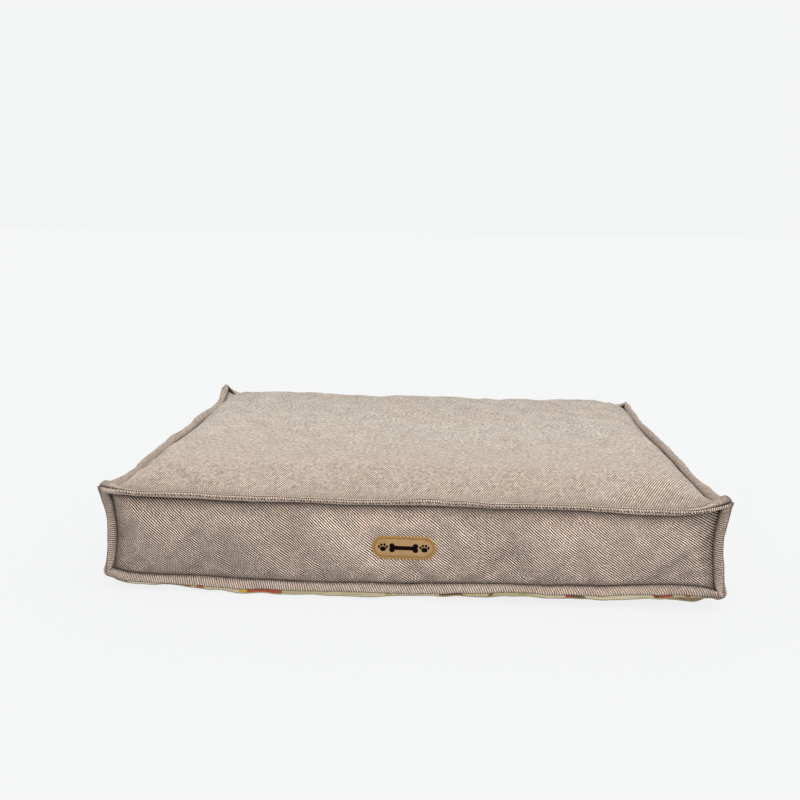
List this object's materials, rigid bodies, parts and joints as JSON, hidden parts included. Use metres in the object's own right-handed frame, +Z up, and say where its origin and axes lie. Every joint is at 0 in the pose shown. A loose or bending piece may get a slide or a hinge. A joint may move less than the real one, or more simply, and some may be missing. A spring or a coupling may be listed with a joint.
{
  "type": "pet cushion bed",
  "caption": "Rectangular box-cushion pet bed: chenille cover with stand-up flanged seams, back zip with slider and pull, lined foam and wadding pad.",
  "frame": {"origin": "middle of the flat underside, on the surface that the bed rests on", "axes": "+Z up; +X along the long side, to the right when the labelled front is seen; the front faces -Y and the zip is at +Y"},
  "size_m": [0.719, 0.5196, 0.138],
  "materials": {
    "cover_fabric": "brushed chenille twill, matte",
    "base_fabric": "printed plain weave, matte",
    "sewing_thread": "spun polyester thread",
    "zip_tape": "woven polyester tape",
    "zip_teeth": "moulded nylon coil",
    "zip_metal": "antique brass plating, satin",
    "label_leather": "tan faux leather, satin",
    "label_thread": "spun polyester thread",
    "label_print": "screen print, matte",
    "liner_fabric": "plain non-woven liner",
    "foam": "open-cell polyurethane foam",
    "wadding": "polyester fibre wadding"
  },
  "bodies": {
    "cover_and_pad": {"top_panel": "cover_fabric", "bottom_panel": "base_fabric", "front_band": "cover_fabric", "left_band": "cover_fabric", "right_band": "cover_fabric", "back_band_upper": "cover_fabric", "back_band_lower": "cover_fabric", "zip_end_tab_left": "cover_fabric", "zip_end_tab_right": "cover_fabric", "edge_seam_top": "sewing_thread", "edge_seam_bottom": "sewing_thread", "edge_seam_corners": "sewing_thread", "topstitch_top": "sewing_thread", "topstitch_bottom": "sewing_thread", "topstitch_corners": "sewing_thread", "zip_tape_upper": "zip_tape", "zip_tape_lower": "zip_tape", "zip_teeth_upper": "zip_teeth", "zip_teeth_lower": "zip_teeth", "zip_top_stops": "zip_metal", "zip_bottom_stop": "zip_metal", "zip_stitching": "sewing_thread", "label_patch": "label_leather", "label_stitching": "label_thread", "label_mark": "label_print", "inner_liner": "liner_fabric", "wadding_upper": "wadding", "foam_core": "foam", "wadding_lower": "wadding"},
    "slider": {"zip_slider": "zip_metal"},
    "pull": {"zip_pull": "zip_metal"}
  },
  "joints": [
    {"name": "zip_slide", "type": "slide", "parent": "cover_and_pad", "child": "slider", "axis": [-1, 0, 0], "range_m": [0, 0.606]},
    {"name": "pull_flip", "type": "hinge", "parent": "slider", "child": "pull", "pos_m": [0.303, 0.2571, 0.062], "axis": [0, 0, -1], "range_deg": [0, 175]}
  ]
}
